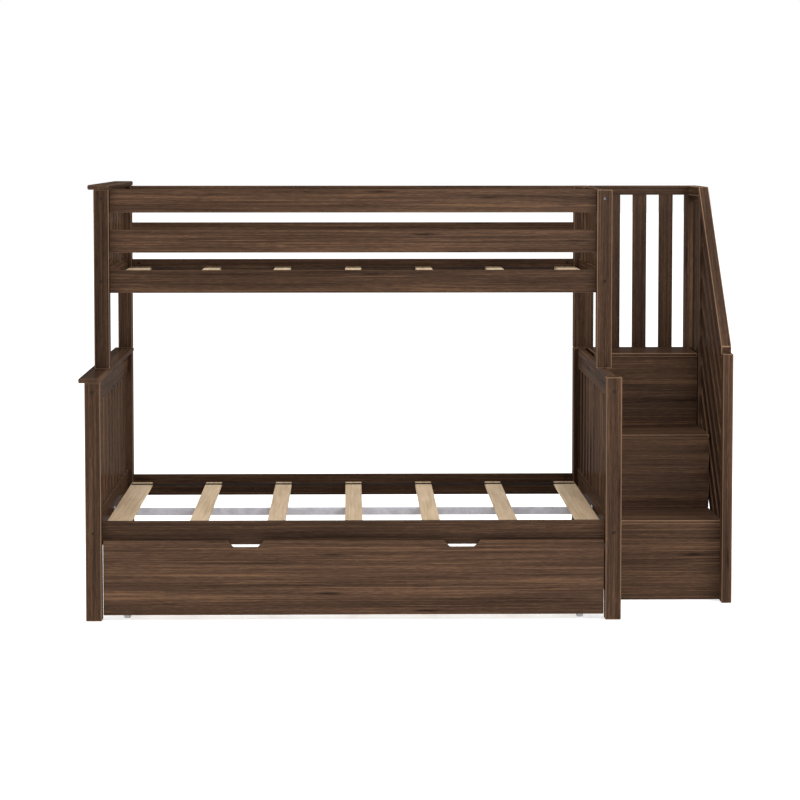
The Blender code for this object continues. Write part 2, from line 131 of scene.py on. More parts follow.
class Tree:
    """A material's node tree. Inputs are given by name, as values or as sockets to link."""

    def __init__(self, name):
        self.material = bpy.data.materials.new(name)
        self.material.use_nodes = True
        self.nodes = self.material.node_tree.nodes
        self.links = self.material.node_tree.links
        self.shader = self.nodes["Principled BSDF"]

    def fill(self, node, inputs):
        for key, value in inputs.items():
            socket = node.inputs[key]
            if isinstance(value, bpy.types.NodeSocket):
                self.links.new(value, socket)
            else:
                socket.default_value = value

    def add(self, kind, inputs=None, **settings):
        node = self.nodes.new("ShaderNode" + kind)
        for key, value in settings.items():
            setattr(node, key, value)
        self.fill(node, inputs or {})
        return node

    def value(self, operation, *operands, clamp=False):
        node = self.add("Math", operation=operation, use_clamp=clamp)
        self.fill(node, dict(enumerate(operands)))
        return node.outputs[0]

    def vector(self, operation, *operands):
        node = self.add("VectorMath", operation=operation)
        self.fill(node, dict(enumerate(operands)))
        return node.outputs[0]

    def attribute(self, name, output="Fac"):
        return self.add("Attribute", attribute_name=name).outputs[output]

    def noise(self, place, stretch, detail=3.0, roughness=0.55):
        scaled = self.vector("MULTIPLY", place, stretch)
        inputs = {"Vector": scaled, "Scale": 1.0, "Detail": detail, "Roughness": roughness}
        return self.add("TexNoise", inputs).outputs["Fac"]

    def ramp(self, share, stops):
        node = self.add("ValToRGB", {"Fac": share})
        elements = node.color_ramp.elements
        while len(elements) < len(stops):
            elements.new(0.5)
        for element, (place, colour) in zip(elements, stops):
            element.position = place
            element.color = (*colour, 1)
        return node.outputs["Color"]

    def spread(self, share, low, high):
        """`share` between 0 and 1, mapped to low..high."""
        return self.add(
            "MapRange", {"Value": share, "To Min": low, "To Max": high}
        ).outputs["Result"]

    def bump(self, height, strength, distance):
        node = self.add("Bump", {"Height": height, "Strength": strength, "Distance": distance})
        return node.outputs["Normal"]

    def shade(self, **inputs):
        self.fill(self.shader, {key.replace("_", " "): value for key, value in inputs.items()})
        return self.material


def grain_place(tree):
    """The wood's own coordinates: metres along, across and through a board, each from its own log."""
    return tree.vector("ADD", tree.attribute("grain", "Vector"), tree.attribute("log", "Vector"))


def mix_colour(tree, share, first, second, blend="MIX"):
    node = tree.add("Mix", data_type="RGBA", blend_type=blend)
    tree.fill(node, {"Factor": share})
    for index, value in ((6, first), (7, second)):
        if isinstance(value, bpy.types.NodeSocket):
            tree.links.new(value, node.inputs[index])
        else:
            node.inputs[index].default_value = (*value, 1)
    return node.outputs[2]


def bent_grain(tree, stretch, amount):
    """The wood's coordinates, with a slow sway across the board."""
    place = grain_place(tree)
    wander = tree.noise(place, stretch, detail=2.0)
    sway = tree.value("MULTIPLY", tree.value("SUBTRACT", wander, 0.5), amount)
    return tree.vector("ADD", place, tree.add("CombineXYZ", {"Y": sway, "Z": sway}).outputs[0])


def toned(tree, colour):
    """A colour times its board's tone, which holds random tone and, for some pieces, painted light and
    shade.
    """
    bright = tree.attribute("tone")
    grey = tree.add("CombineColor", {"Red": bright, "Green": bright, "Blue": bright}).outputs[0]
    return mix_colour(tree, 1.0, colour, grey, "MULTIPLY")


def walnut_material():
    """Walnut stain under satin lacquer: straight lines, faint bands, pores, knots, and paler rounded edges
    that are partly rubbed lacquer and partly a painted highlight.
    """
    tree = Tree("walnut_stain")
    bent = bent_grain(tree, (0.9, 6.0, 6.0), 0.02)
    bands = tree.noise(bent, (0.8, 24.0, 24.0), detail=2.0)
    streaks = tree.noise(bent, (1.1, 120.0, 120.0), detail=2.0, roughness=0.50)
    lines = tree.noise(bent, (1.8, 290.0, 290.0), detail=2.0, roughness=0.60)
    pores = tree.noise(bent, (26.0, 520.0, 520.0), detail=3.0, roughness=0.65)
    figure = tree.value("MULTIPLY_ADD", bands, 0.26, tree.value("MULTIPLY", streaks, 0.15))
    figure = tree.value("MULTIPLY_ADD", lines, 0.27, figure)
    figure = tree.value("MULTIPLY_ADD", pores, 0.32, figure)
    glow = tree.noise(bent, (0.7, 210.0, 210.0), detail=1.0)
    glow = tree.value("MULTIPLY", tree.value("SUBTRACT", glow, 0.60, clamp=True), 0.75)
    spread_out = tree.vector("MULTIPLY", bent, (2.0, 20.0, 20.0))
    cells = tree.add("TexVoronoi", {"Vector": spread_out, "Scale": 1.0})
    near = tree.value("SUBTRACT", 0.15, cells.outputs["Distance"], clamp=True)
    knot = tree.value("MULTIPLY", near, 1.1)
    figure = tree.value("ADD", tree.value("SUBTRACT", figure, knot), glow)
    colour = tree.ramp(figure, (
        (0.37, (0.019, 0.0106, 0.0070)),
        (0.46, (0.047, 0.0262, 0.0166)),
        (0.53, (0.068, 0.0382, 0.0238)),
        (0.61, (0.128, 0.0700, 0.0390)),
    ))
    # Pale tan on the rounded edges: partly lacquer worn through, partly a painted highlight where the edges
    # catch light.
    worn = tree.value("MULTIPLY", tree.attribute("edge"), tree.spread(streaks, 0.4, 1.0))
    edged = mix_colour(tree, worn, toned(tree, colour), (0.26, 0.155, 0.095))
    height = tree.value("MULTIPLY_ADD", pores, 0.6, tree.value("MULTIPLY", lines, 0.4))
    return tree.shade(
        Base_Color=edged,
        Roughness=tree.spread(lines, 0.58, 0.42),
        Normal=tree.bump(height, 0.35, 0.0004),
        Specular_IOR_Level=0.0,
        Coat_Weight=0.035,
        Coat_Roughness=0.15,
    )


def pine_material():
    """Bare planed pine: pale earlywood with thin honey lines and a few warmer patches."""
    tree = Tree("bare_pine")
    bent = bent_grain(tree, (1.2, 7.0, 7.0), 0.03)
    lines = tree.noise(bent, (2.4, 150.0, 150.0), detail=3.0)
    patches = tree.noise(bent, (3.5, 22.0, 22.0), detail=3.0)
    fibre = tree.noise(bent, (30.0, 1400.0, 1400.0), detail=2.0)
    figure = tree.value("MULTIPLY_ADD", lines, 0.5, tree.value("MULTIPLY", patches, 0.4))
    figure = tree.value("MULTIPLY_ADD", fibre, 0.1, figure)
    colour = tree.ramp(figure, (
        (0.34, (0.42, 0.290, 0.165)),
        (0.46, (0.53, 0.385, 0.235)),
        (0.56, (0.60, 0.450, 0.290)),
        (0.68, (0.66, 0.515, 0.350)),
    ))
    return tree.shade(
        Base_Color=toned(tree, colour),
        Roughness=tree.spread(lines, 0.68, 0.54),
        Normal=tree.bump(fibre, 0.4, 0.0003),
        Specular_IOR_Level=0.3,
    )


def shades(colour, low, high):
    """A darker and a paler version of a colour."""
    return tuple(part * low for part in colour), tuple(min(1.0, part * high) for part in colour)


def metal_material(name, colour, roughness, metallic):
    """Plated or painted steel with a fine mottle in its colour and gloss."""
    tree = Tree(name)
    place = grain_place(tree)
    mottle = tree.noise(place, (900.0, 900.0, 900.0), detail=3.0)
    cloud = tree.noise(place, (28.0, 28.0, 28.0), detail=2.0)
    mixed = tree.value("MULTIPLY_ADD", mottle, 0.5, tree.value("MULTIPLY", cloud, 0.5))
    dark, pale = shades(colour, 0.80, 1.12)
    return tree.shade(
        Base_Color=tree.ramp(mixed, ((0.38, dark), (0.62, pale))),
        Roughness=tree.spread(mixed, roughness * 1.15, roughness * 0.85),
        Metallic=metallic,
        Normal=tree.bump(mottle, 0.25, 0.0002),
        Specular_IOR_Level=0.5 if metallic else 0.15,
    )


def plastic_material(name, colour, roughness):
    """Moulded plastic or rubber with a fine spark texture."""
    tree = Tree(name)
    place = grain_place(tree)
    spark = tree.noise(place, (1600.0, 1600.0, 1600.0), detail=2.0)
    cloud = tree.noise(place, (40.0, 40.0, 40.0), detail=2.0)
    dark, pale = shades(colour, 0.86, 1.08)
    return tree.shade(
        Base_Color=tree.ramp(cloud, ((0.35, dark), (0.65, pale))),
        Roughness=tree.spread(spark, roughness * 0.85, min(1.0, roughness * 1.15)),
        Normal=tree.bump(spark, 0.3, 0.0002),
    )


def webbing_material():
    """Black woven tape: warp ribs along it and weft across."""
    warp_pitch, weft_pitch = 0.0022, 0.0015
    tree = Tree("black_webbing")
    place = grain_place(tree)
    parts = tree.add("SeparateXYZ", {"Vector": place})
    warp = tree.value("SINE", tree.value("MULTIPLY", parts.outputs["Y"], 2 * math.pi / warp_pitch))
    weft = tree.value("SINE", tree.value("MULTIPLY", parts.outputs["X"], 2 * math.pi / weft_pitch))
    weave = tree.value("MULTIPLY_ADD", tree.value("MULTIPLY", warp, weft), 0.5, 0.5)
    fuzz = tree.noise(place, (900.0, 900.0, 900.0), detail=2.0)
    mixed = tree.value("MULTIPLY_ADD", weave, 0.7, tree.value("MULTIPLY", fuzz, 0.3))
    return tree.shade(
        Base_Color=tree.ramp(mixed, ((0.2, (0.006, 0.006, 0.007)), (0.8, (0.022, 0.021, 0.022)))),
        Roughness=tree.spread(fuzz, 0.85, 1.0),
        Normal=tree.bump(weave, 0.6, 0.0005),
        Specular_IOR_Level=0.05,
    )


WALNUT = walnut_material()
PINE = pine_material()
BRIGHT_STEEL = metal_material("zinc_plate", (0.72, 0.72, 0.73), 0.28, 1.0)
BOLT_STEEL = metal_material("steel_bolt", (0.15, 0.15, 0.155), 0.45, 1.0)
DARK_STEEL = metal_material("black_oxide", (0.036, 0.025, 0.019), 0.85, 0.0)
GREY_PAINT = metal_material("grey_powder_coat", (0.50, 0.50, 0.55), 0.46, 0.0)
BRACKET_STEEL = metal_material("dull_zinc", (0.40, 0.40, 0.42), 0.42, 1.0)
CASTER_PLASTIC = plastic_material("light_grey_plastic", (0.56, 0.56, 0.57), 0.42)
TYRE = plastic_material("grey_rubber", (0.36, 0.36, 0.365), 0.66)
WEBBING = webbing_material()


# Mesh tools

def new_object(name, data):
    made = bpy.data.objects.new(name, data)
    bpy.context.scene.collection.objects.link(made)
    return made


def soften(part, radius, segments=2, edges=None):
    """Rounds edges and marks the rounded faces in the face layer `edge`."""
    layer = part.faces.layers.int.get("edge") or part.faces.layers.int.new("edge")
    made = bmesh.ops.bevel(
        part,
        geom=list(part.edges if edges is None else edges),
        offset=radius,
        offset_type="OFFSET",
        segments=segments,
        profile=0.5,
        affect="EDGES",
        clamp_overlap=True,
    )
    for face in made["faces"]:
        face[layer] = 1
    return part


def block(low, high, radius=EASE, segments=2):
    """A rounded box between two corners."""
    low, high = Vector(low), Vector(high)
    part = bmesh.new()
    bmesh.ops.create_cube(part, size=1.0)
    bmesh.ops.scale(part, vec=high - low, verts=part.verts)
    bmesh.ops.translate(part, vec=(low + high) / 2, verts=part.verts)
    return soften(part, radius, segments)


def slab(outline, axis, low, high, radius=EASE, segments=2):
    """A rounded prism: `outline` holds the other two coordinates, in X, Y, Z order."""
    part = bmesh.new()

    def point(pair, value):
        full = list(pair)
        full.insert(axis, value)
        return part.verts.new(full)

    front = [point(pair, low) for pair in outline]
    back = [point(pair, high) for pair in outline]
    part.faces.new(front)
    part.faces.new(back[::-1])
    for i in range(len(outline)):
        j = (i + 1) % len(outline)
        part.faces.new((front[i], back[i], back[j], front[j]))
    bmesh.ops.recalc_face_normals(part, faces=part.faces)
    return soften(part, radius, segments)


def turned(profile, steps=24, closed=False):
    """A profile of (radius, height) turned about Z. A closed one makes a ring."""
    part = bmesh.new()
    rings = []
    for radius, height in profile:
        if radius < 1e-6:
            rings.append([part.verts.new((0, 0, height))])
            continue
        rings.append([
            part.verts.new((
                radius * math.cos(2 * math.pi * i / steps),
                radius * math.sin(2 * math.pi * i / steps),
                height,
            ))
            for i in range(steps)
        ])
    pairs = list(zip(rings, rings[1:]))
    if closed:
        pairs.append((rings[-1], rings[0]))
    for lower, upper in pairs:
        for i in range(steps):
            j = (i + 1) % steps
            below = [lower[k % len(lower)] for k in (i, j)]
            above = [upper[k % len(upper)] for k in (j, i)]
            face = list(dict.fromkeys(below + above))
            if len(face) > 2:
                part.faces.new(face)
    bmesh.ops.recalc_face_normals(part, faces=part.faces)
    return part


def facing(centre, normal):
    """Places a part that was drawn about Z at `centre`, with its Z along `normal`."""
    turn = Vector(normal).to_track_quat("Z", "Y").to_matrix().to_4x4()
    return Matrix.Translation(Vector(centre)) @ turn


class Piece:
    """One shown piece: its boards and fittings, with the coordinates that the materials read."""

    def __init__(self, name, tone=1.0):
        self.name = name
        self.board_tone = tone
        self.materials = []
        self.points, self.grain = [], []
        self.faces, self.log, self.tone, self.edge, self.finish = [], [], [], [], []

    def add(self, part, material, along=X, tone=1.0, place=None, strips=None, worn=0.18):
        """Takes a mesh over.

        `along` is the axis of its grain, `strips` splits it into boards glued side by side, and `worn`
        says how pale its rounded edges are made: partly lacquer rubbed off them, partly a painted
        highlight.
        """
        # The piece's tone, partly painted light and shade, scales each board's own tone.
        tone *= self.board_tone
        if material not in self.materials:
            self.materials.append(material)
        finish = self.materials.index(material)
        others = [axis for axis in (X, Y, Z) if axis != along]
        extent = [
            max(v.co[axis] for v in part.verts) - min(v.co[axis] for v in part.verts) for axis in (X, Y, Z)
        ]
        order = [along, *sorted(others, key=lambda axis: -extent[axis])]
        if strips:
            axis, cuts = strips
            normal = Vector((0, 0, 0))
            normal[axis] = 1
            for cut in cuts:
                geometry = list(part.verts) + list(part.edges) + list(part.faces)
                bmesh.ops.bisect_plane(part, geom=geometry, plane_co=normal * cut, plane_no=normal)
            logs = [random_log() for _ in range(len(cuts) + 1)]
            tones = [tone * rng.uniform(0.94, 1.06) for _ in logs]
        else:
            logs = [random_log()]
            tones = [tone * rng.uniform(0.95, 1.05)]
        layer = part.faces.layers.int.get("edge")
        first = len(self.points)
        part.verts.index_update()
        for vert in part.verts:
            self.grain.append([vert.co[axis] for axis in order])
            self.points.append(place @ vert.co if place else vert.co.copy())
        for face in part.faces:
            board = sum(face.calc_center_median()[strips[0]] > cut for cut in strips[1]) if strips else 0
            self.faces.append([first + vert.index for vert in face.verts])
            self.log.append(logs[board])
            self.tone.append(tones[board])
            # How pale the rounded edges turn: partly wear, partly a painted highlight.
            self.edge.append(face[layer] * worn if layer else 0)
            self.finish.append(finish)
        part.free()

    def make(self, body, slot=None, stands_for=()):
        """Makes the object, rides it on its body and hides the CAD nodes it stands for."""
        mesh = bpy.data.meshes.new(self.name)
        mesh.from_pydata(self.points, [], self.faces)
        for material in self.materials:
            mesh.materials.append(material)
        mesh.polygons.foreach_set("material_index", self.finish)
        mesh.shade_smooth()
        mesh.set_sharp_from_angle(angle=math.radians(50))
        for name, kind, domain, values in (
            ("grain", "FLOAT_VECTOR", "POINT", self.grain),
            ("log", "FLOAT_VECTOR", "FACE", self.log),
            ("tone", "FLOAT", "FACE", self.tone),
            ("edge", "FLOAT", "FACE", self.edge),
        ):
            data = mesh.attributes.new(name, kind, domain).data
            if kind == "FLOAT_VECTOR":
                data.foreach_set("vector", [part for value in values for part in value])
            else:
                data.foreach_set("value", values)
        piece = new_object(self.name, mesh)
        even = piece.modifiers.new("even_faces", "WEIGHTED_NORMAL")
        even.keep_sharp = True
        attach(piece, body)
        if stands_for:
            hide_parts(*stands_for)
        return piece


def random_log():
    return [rng.uniform(0, 60) for _ in range(3)]


def drilled(part, holes, radius=BOLT_HOLE, deep=BOLT_DEEP):
    """Cuts round holes into a face: each hole is (centre on the face, direction inwards)."""
    cutter = bmesh.new()
    for centre, inward in holes:
        hole = turned(((0, -deep), (radius, -deep), (radius, deep), (0, deep)))
        hole.transform(facing(centre, inward))
        holder = bpy.data.meshes.new("hole")
        hole.to_mesh(holder)
        hole.free()
        cutter.from_mesh(holder)
        bpy.data.meshes.remove(holder)
    objects = []
    for source in (part, cutter):
        mesh = bpy.data.meshes.new("drilling")
        source.to_mesh(mesh)
        source.free()
        objects.append(new_object("drilling", mesh))
    board, tool = objects
    cut = board.modifiers.new("holes", "BOOLEAN")
    cut.operation = "DIFFERENCE"
    cut.solver = "EXACT"
    cut.object = tool
    bpy.context.view_layer.update()
    graph = bpy.context.evaluated_depsgraph_get()
    result = bmesh.new()
    result.from_object(board, graph)
    for made in objects:
        mesh = made.data
        bpy.data.objects.remove(made)
        bpy.data.meshes.remove(mesh)
    return result


# Fittings

def socket_bolt(piece, centre, normal, material, radius=0.0056):
    """A round bolt head with a hexagonal socket, its top at `centre`."""
    steps = 24
    socket = radius * 0.48
    deep = radius * 0.55
    part = bmesh.new()

    def ring(size, height, sides=None):
        made = []
        for i in range(steps):
            angle = 2 * math.pi * i / steps
            reach = size
            if sides:
                corner = math.pi / sides
                reach = size * math.cos(corner) / math.cos((angle % (2 * corner)) - corner)
            made.append(part.verts.new((reach * math.cos(angle), reach * math.sin(angle), height)))
        return made

    rings = [
        ring(radius, -0.004),
        ring(radius, -0.0008),
        ring(radius * 0.90, 0),
        ring(socket * 1.12, 0),
        ring(socket, -0.0005, 6),
        ring(socket, -deep, 6),
    ]
    for lower, upper in zip(rings, rings[1:]):
        for i in range(steps):
            j = (i + 1) % steps
            part.faces.new((lower[i], lower[j], upper[j], upper[i]))
    part.faces.new(rings[-1])
    part.faces.new(rings[0][::-1])
    bmesh.ops.recalc_face_normals(part, faces=part.faces)
    piece.add(part, material, Z, place=facing(centre, normal))


def cross_screw(piece, centre, normal, turn=0.4, material=BRIGHT_STEEL, radius=0.0036):
    """A countersunk screw head, nearly flush, with a cross recess."""
    place = facing(centre, normal)
    sunk = -0.0012
    profile = ((0, sunk), (radius * 0.8, sunk), (radius, 0.0), (radius * 0.7, 0.0003), (0, 0.0004))
    piece.add(turned(profile, 16), material, Z, place=place)
    long, wide = radius * 0.55, radius * 0.1
    for angle in (turn, turn + math.pi / 2):
        slot = block((-long, -wide, 0.0), (long, wide, 0.00048), 0.00008, 1)
        piece.add(slot, DARK_STEEL, X, place=place @ Matrix.Rotation(angle, 4, "Z"))


# Where things are

def middle_of(node):
    low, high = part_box(node)
    return (low + high) / 2


PLAN_X = middle_of("lower_side_rail_front").x
PLAN_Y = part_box("lower_post_front_left")[0].y
REAR_POST_LEFT = PLAN_X + REAR_POST_X - GAP
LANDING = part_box("stair_tread_3")[1].z

# The handrail's top, bend and underside
RAIL_LOW, RAIL_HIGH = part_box("stair_handrail")
RAIL_TOP = RAIL_HIGH.z
BEND = PLAN_Y + BEND_Y
RAIL_SLANT = math.sqrt(1 + RAIL_PITCH ** 2)
RAIL_DROP = RAIL_DEEP * RAIL_SLANT
UNDER_FLAT = RAIL_TOP - RAIL_DEEP
UNDER_BEND = BEND + (RAIL_DROP - RAIL_DEEP) / RAIL_PITCH
RAIL_LEAN = Matrix.Rotation(-math.atan(RAIL_PITCH), 4, "X")


def rail_line(y):
    """Height of the handrail's sloped top at a world Y."""
    return RAIL_TOP + RAIL_PITCH * (y - BEND)


def split(low, high, axis, start, end):
    """The corners of the part of a box between two values on one axis."""
    low, high = low.copy(), high.copy()
    low[axis], high[axis] = start, end
    return low, high


def rows(low, high, count, wide):
    """Spans of `count` slats of one width, evenly spaced between low and high."""
    gap = (high - low - count * wide) / (count + 1)
    starts = [low + gap + i * (wide + gap) for i in range(count)]
    return [(start, start + wide) for start in starts]


# Boards of the beds

# How bright each node's wood is beside the others': partly the wood's own tone, partly painted light and
# shade, so that the treads and risers are brightened to make up for the shade they lie in and some posts
# are darkened
TONES_WITH_PAINTED_LIGHT = {
    "lower_side_rail_front": 0.72,
    "lower_side_rail_back": 0.74,
    "upper_side_rail_front": 0.80,
    "upper_side_rail_back": 0.74,
    "upper_post_front_left": 0.60,
    "upper_post_front_right": 0.76,
    "lower_post_front_left": 0.76,
    "lower_post_front_right": 0.86,
    "stair_side_guard": 0.92,
    "stair_handrail": 0.93,
    "stair_newel_post": 0.90,
    "stair_riser_2": 1.35,
    "stair_riser_3": 1.25,
    "stair_tread_1": 1.32,
    "stair_tread_2": 1.28,
    "stair_back_guard": 0.86,
    "trundle_front_panel": 1.05,
    "upper_middle_guard_front": 0.96,
}
POST_BACK_TONE = 0.68
CAP_TONE = 0.80


def piece_for(node):
    usual = POST_BACK_TONE if "_post_back_" in node else CAP_TONE if "_cap_" in node else 1.0
    return Piece(node + "_finished", TONES_WITH_PAINTED_LIGHT.get(node, usual))


def finish_board(node, part, material, along, worn=0.18):
    """A CAD node that is one board."""
    piece = piece_for(node)
    piece.add(part, material, along, worn=worn)
    piece.make("bed", "walnut", (node,))


def posts():
    """Posts with eased edges, drilled front or back for the bolts of the end panels."""
    bolts = Piece("frame_bolts")
    for level, heights in (("lower", LOWER_BOLTS), ("upper", UPPER_BOLTS)):
        for end in ("front", "back"):
            for label in ("left", "right"):
                node = f"{level}_post_{end}_{label}"
                low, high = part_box(node)
                inward = Vector((0, 1, 0)) if end == "front" else Vector((0, -1, 0))
                face = low.y if end == "front" else high.y
                holes = [(Vector((middle_of(node).x, face, height)), inward) for height in heights]
                part = drilled(block(low, high, POST_EASE, 3), holes)
                piece = piece_for(node)
                piece.add(part, WALNUT, Z, worn=0.75)
                piece.make("bed", "walnut", (node,))
                for height, (place, _) in zip(heights, holes):
                    bright = height == max(UPPER_BOLTS) and end == "front" and label == "right"
                    sunk, steel = (0.0005, BOLT_STEEL) if bright else (0.0015, DARK_STEEL)
                    socket_bolt(bolts, place + inward * sunk, -inward, steel)
    bolts.make("bed")


def caps():
    for node in ("lower_end_cap_left", "upper_end_cap_left"):
        low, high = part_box(node)
        finish_board(node, block(low, high, 0.006, 4), WALNUT, Y, 0.10)


def end_panel(node, bottom_tall, count):
    """Rails with upright slats let into them."""
    low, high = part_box(node)
    inset = (BOARD - END_SLAT_THICK) / 2
    piece = piece_for(node)
    piece.add(block(*split(low, high, Z, low.z, low.z + bottom_tall)), WALNUT, Y)
    piece.add(block(*split(low, high, Z, high.z - BOARD_TALL, high.z)), WALNUT, Y)
    foot, head = low.z + bottom_tall - LET_IN, high.z - BOARD_TALL + LET_IN
    for start, end in rows(low.y, high.y, count, END_SLAT_WIDE):
        slat = block((low.x + inset, start, foot), (high.x - inset, end, head), FINE_EASE)
        piece.add(slat, WALNUT, Z, tone=0.95)
    piece.make("bed", "walnut", (node,))


def end_panels():
    end_panel("lower_end_panel_left", END_RAIL_TALL, 10)
    end_panel("lower_end_panel_right", END_RAIL_TALL, 10)
    end_panel("upper_end_panel_left", BOARD_TALL, 7)


def entry_end():
    """The upper right end: its bottom rail, the part guard and the stile beside the way in."""
    node = "upper_entry_end_right"
    low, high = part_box(node)
    post_low, post_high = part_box("upper_post_front_right")
    inner, outer = high.x - ENTRY_RAIL_IN - BOARD, high.x - ENTRY_RAIL_IN
    stile = [PLAN_Y + y for y in ENTRY_STILE_Y]
    over_rail, under_rail = low.z + BOARD_TALL, high.z - BOARD_TALL
    inset = (BOARD - END_SLAT_THICK) / 2
    piece = piece_for(node)
    piece.add(block((inner, low.y, low.z), (outer, high.y, over_rail)), WALNUT, Y)
    piece.add(block((inner, low.y, under_rail), (outer, stile[0] + LET_IN, high.z)), WALNUT, Y)
    post = block((post_low.x, stile[0], over_rail), (post_high.x, stile[1], high.z), POST_EASE, 3)
    piece.add(post, WALNUT, Z)
    for start, end in rows(low.y, stile[0], ENTRY_SLATS, END_SLAT_WIDE):
        slat = block(
            (inner + inset, start, over_rail - LET_IN), (outer - inset, end, under_rail + LET_IN), FINE_EASE
        )
        piece.add(slat, WALNUT, Z, tone=0.95)
    piece.make("bed", "walnut", (node,))


def side_rails():
    """Each side rail with the cleat under the slats and the screws that hold it."""
    for level in ("lower", "upper"):
        for end in ("front", "back"):
            node = f"{level}_side_rail_{end}"
            low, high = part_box(node)
            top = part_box(f"{level}_slat_1")[0].z - GAP
            if end == "front":
                inward, rail, cleat = 1, (low.y, low.y + BOARD), (low.y + BOARD, high.y)
                rail_face, cleat_face = rail[1], cleat[1]
            else:
                inward, rail, cleat = -1, (high.y - BOARD, high.y), (low.y, high.y - BOARD)
                rail_face, cleat_face = rail[0], cleat[0]
            piece = piece_for(node)
            into = Vector((0, -inward, 0))
            nut_z = high.z - NUT_DOWN
            centres = [Vector((PLAN_X + side * NUT_X, rail_face, nut_z)) for side in (LEFT, RIGHT)]
            board = block(*split(low, high, Y, *rail))
            piece.add(drilled(board, [(centre, into) for centre in centres], NUT_HOLE, NUT_DEEP), WALNUT, X)
            for centre in centres:
                wide, tall, rim = NUT_RADIUS, 0.0036, 0.0006
                nut = turned(((0, 0), (wide, 0), (wide, tall - rim), (wide - rim, tall), (0, tall)))
                piece.add(nut, DARK_STEEL, Z, place=facing(centre + into * NUT_DEEP, -into))
            strip = block((low.x, cleat[0], top - CLEAT_TALL), (high.x, cleat[1], top), FINE_EASE)
            piece.add(strip, WALNUT, X, tone=0.85)
            for i in range(CLEAT_SCREWS):
                x = low.x + (high.x - low.x) * (i + 0.5) / CLEAT_SCREWS
                centre = (x, cleat_face, top - CLEAT_TALL / 2)
                cross_screw(piece, centre, -into, rng.uniform(0, 1.5), DARK_STEEL)
            piece.make("bed", "walnut", (node,))


def guards():
    for which in ("middle", "top"):
        for end in ("front", "back"):
            node = f"upper_{which}_guard_{end}"
            finish_board(node, block(*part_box(node)), WALNUT, X)


def bed_slats():
    for level in ("lower", "upper"):
        screws = Piece(f"{level}_slat_screws")
        screw_in = 0.013
        for number in range(1, BED_SLATS + 1):
            node = f"{level}_slat_{number}"
            low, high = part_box(node)
            piece = piece_for(node)
            piece.add(block(low, high, SLAT_EASE), PINE, Y)
            piece.make("bed", "pine", (node,))
            for y in (low.y + screw_in, high.y - screw_in):
                centre = ((low.x + high.x) / 2, y, high.z)
                cross_screw(screws, centre, (0, 0, 1), rng.uniform(0, 1.5), DARK_STEEL)
        screws.make("bed")
        straps(level)


def straps(level):
    """Two woven tapes across the slats, stapled to each, that keep them apart."""
    boxes = [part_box(f"{level}_slat_{number}") for number in range(1, BED_SLATS + 1)]
    top = boxes[0][1].z
    front, back = boxes[0][0].y, boxes[0][1].y
    half, laid_on, flat_in = STRAP_WIDE / 2, 0.0002, 0.004
    sags = ((0.08, 0.0009), (0.3, 0.0020), (0.5, 0.0026), (0.7, 0.0020), (0.92, 0.0009))
    stations = []
    for i, (low, high) in enumerate(boxes):
        stations += [(low.x + flat_in, top), (high.x - flat_in, top)]
        if i + 1 < len(boxes):
            gap = boxes[i + 1][0].x - high.x
            stations += [(high.x + gap * share, top - sag) for share, sag in sags]
    for label, centre in (("front", front + STRAP_IN), ("back", back - STRAP_IN)):
        piece = Piece(f"{level}_slat_strap_{label}")
        part = bmesh.new()
        rings = [
            [
                part.verts.new((x, centre + side * half, z + up * STRAP_THICK + laid_on))
                for side, up in ((-1, 0), (1, 0), (1, 1), (-1, 1))
            ]
            for x, z in stations
        ]
        for first, second in zip(rings, rings[1:]):
            for i in range(4):
                j = (i + 1) % 4
                part.faces.new((first[i], first[j], second[j], second[i]))
        part.faces.new(rings[0][::-1])
        part.faces.new(rings[-1])
        bmesh.ops.recalc_face_normals(part, faces=part.faces)
        piece.add(part, WEBBING, X)
        wire, long, tall = 0.0012, 0.010, 0.0009
        for low, high in boxes:
            for side in (LEFT, RIGHT):
                x, z = (low.x + high.x + side * STAPLE_APART) / 2, top + STRAP_THICK
                corners = (x - wire / 2, centre - long / 2, z), (x + wire / 2, centre + long / 2, z + tall)
                piece.add(block(*corners, wire / 3, 1), BRIGHT_STEEL, Y)
        piece.make("bed")


def centre_beam():
    """A square steel tube, hung in a bright bracket at each end."""
    node = "lower_centre_beam"
    low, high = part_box(node)
    piece = piece_for(node)
    end_in, corner = 0.0015, 0.003
    tube = block((low.x + end_in, low.y, low.z), (high.x - end_in, high.y, high.z), corner, 3)
    piece.add(tube, GREY_PAINT, X)
    piece.make("bed", "beam_grey", (node,))
    for side, label, wall in ((LEFT, "left", low.x), (RIGHT, "right", high.x)):
        beam_bracket(side, label, wall, low, high)


def beam_bracket(side, label, wall, low, high):
    """A U-shaped steel bracket round the end of the beam, on a plate with two screws."""
    plate, play, round_off = BRACKET_PLATE, 0.0004, 0.0008
    wide, tall, lip_down, screw_out = 0.018, 0.006, 0.002, 0.011
    piece = Piece(f"beam_bracket_{label}")
    near, far = sorted((wall, wall - side * plate))
    back = block((near, low.y - wide, low.z - tall), (far, high.y + wide, high.z + tall), 0.001, 2)
    piece.add(back, BRACKET_STEEL, Y)
    near, far = sorted((wall - side * plate, wall - side * BRACKET_REACH))
    for y in (low.y - plate - play, high.y + play):
        lip = block((near, y, low.z - plate), (far, y + plate, high.z - lip_down), round_off, 2)
        piece.add(lip, BRACKET_STEEL, X)
    corners = (near, low.y - plate, low.z - plate - play), (far, high.y + plate, low.z - play)
    piece.add(block(*corners, round_off, 2), BRACKET_STEEL, X)
    for y in (low.y - screw_out, high.y + screw_out):
        centre = (wall - side * plate, y, (low.z + high.z) / 2)
        cross_screw(piece, centre, (-side, 0, 0), radius=0.0042)
    piece.make("bed")


# Stairs

def strip_cuts(low, high, wide=STRIP_WIDE):
    """Where the glue lines of a wide board lie."""
    cuts = []
    place = low + wide * rng.uniform(0.5, 1.0)
    while place < high - wide * 0.3:
        cuts.append(place)
        place += wide * rng.uniform(0.8, 1.2)
    return cuts


